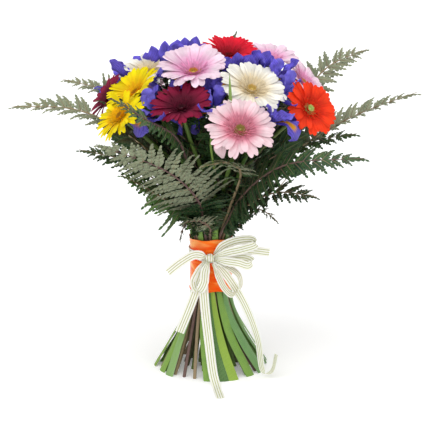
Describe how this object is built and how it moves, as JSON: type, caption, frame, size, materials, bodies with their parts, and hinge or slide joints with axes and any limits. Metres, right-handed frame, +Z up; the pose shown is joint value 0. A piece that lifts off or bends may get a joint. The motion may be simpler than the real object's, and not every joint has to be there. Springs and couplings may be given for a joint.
{
  "type": "flower bouquet",
  "caption": "Hand-tied spiral bouquet of gerberas, Dutch irises and leatherleaf fern, bound with an orange satin band and a striped ribbon bow, standing on its cut stems.",
  "frame": {"origin": "middle of the foot: the centre of the central stem's level cut end, on the surface that the stems stand on", "axes": "+Z up along the stems, -Y towards the front where the bow is, +X to the right"},
  "size_m": [0.552, 0.402, 0.464],
  "materials": {
    "pink_petal": "velvety ray petals, pale pink with a deeper base",
    "pale_rose_petal": "velvety ray petals, blush pink with a rose centre",
    "cream_petal": "velvety ray petals, ivory",
    "burgundy_petal": "velvety ray petals, dark wine red",
    "yellow_petal": "velvety ray petals, golden yellow",
    "scarlet_petal": "velvety ray petals, scarlet",
    "orange_red_petal": "velvety ray petals, orange-red",
    "iris_petal": "thin iris petals, blue-violet with a yellow blotch on each fall",
    "cut_stem": "fresh green stem, brownish in places",
    "iris_leaf": "strap leaf, waxy mid green with fine parallel veins",
    "fern_leaf": "leathery frond, glossy dark green above and pale grey-green beneath",
    "orange_satin": "glossy orange satin",
    "striped_ribbon": "sheer cream ribbon with pale green stripes and white edges"
  },
  "bodies": {
    "root": {"stems_core": "cut_stem", "stems_bunch": "cut_stem", "iris_leafy_stem_left": "iris_leaf", "iris_leafy_stem_upper_right": "iris_leaf", "iris_leafy_stem_right": "iris_leaf", "iris_leafy_stem_front": "iris_leaf", "iris_leafy_stem_front_right": "iris_leaf", "iris_leafy_stem_front_left": "iris_leaf", "iris_leafy_stem_back_left": "iris_leaf", "iris_leafy_stem_back_right": "iris_leaf", "satin_band": "orange_satin", "ribbon_bow": "striped_ribbon", "gerbera_pink_top": "pink_petal", "gerbera_rose_front": "pale_rose_petal", "gerbera_cream_front": "cream_petal", "gerbera_burgundy_front": "burgundy_petal", "gerbera_orange_right": "orange_red_petal", "gerbera_scarlet_top": "scarlet_petal", "gerbera_yellow_upper_left": "yellow_petal", "gerbera_white_left": "cream_petal", "gerbera_pink_upper_right": "pink_petal", "gerbera_pink_right": "pink_petal", "gerbera_yellow_lower_left": "yellow_petal", "gerbera_burgundy_left": "burgundy_petal", "gerbera_yellow_back": "yellow_petal", "gerbera_orange_back": "orange_red_petal", "gerbera_pink_back": "pink_petal", "gerbera_burgundy_back": "burgundy_petal", "gerbera_rose_back": "pale_rose_petal", "iris_left": "iris_petal", "iris_upper_left": "iris_petal", "iris_top": "iris_petal", "iris_top_right": "iris_petal", "iris_upper_right": "iris_petal", "iris_right": "iris_petal", "iris_front": "iris_petal", "iris_front_right": "iris_petal", "iris_front_left": "iris_petal", "iris_back_left": "iris_petal", "iris_back_right": "iris_petal", "fern_frond_far_left": "fern_leaf", "fern_frond_left_behind": "fern_leaf", "fern_frond_over_yellow": "fern_leaf", "fern_frond_front_left_high": "fern_leaf", "fern_frond_front_left_low": "fern_leaf", "fern_frond_left_hanging": "fern_leaf", "fern_frond_front_middle": "fern_leaf", "fern_frond_front_right_high": "fern_leaf", "fern_frond_front_right_low": "fern_leaf", "fern_frond_right_hanging": "fern_leaf", "fern_frond_far_right": "fern_leaf", "fern_frond_upper_right": "fern_leaf", "fern_frond_top": "fern_leaf", "fern_frond_front_centre": "fern_leaf", "fern_frond_right_side": "fern_leaf", "fern_frond_back_right_low": "fern_leaf", "fern_frond_back_low": "fern_leaf", "fern_frond_back_left_low": "fern_leaf", "fern_frond_back_high": "fern_leaf", "fern_frond_left_side": "fern_leaf"}
  },
  "joints": []
}
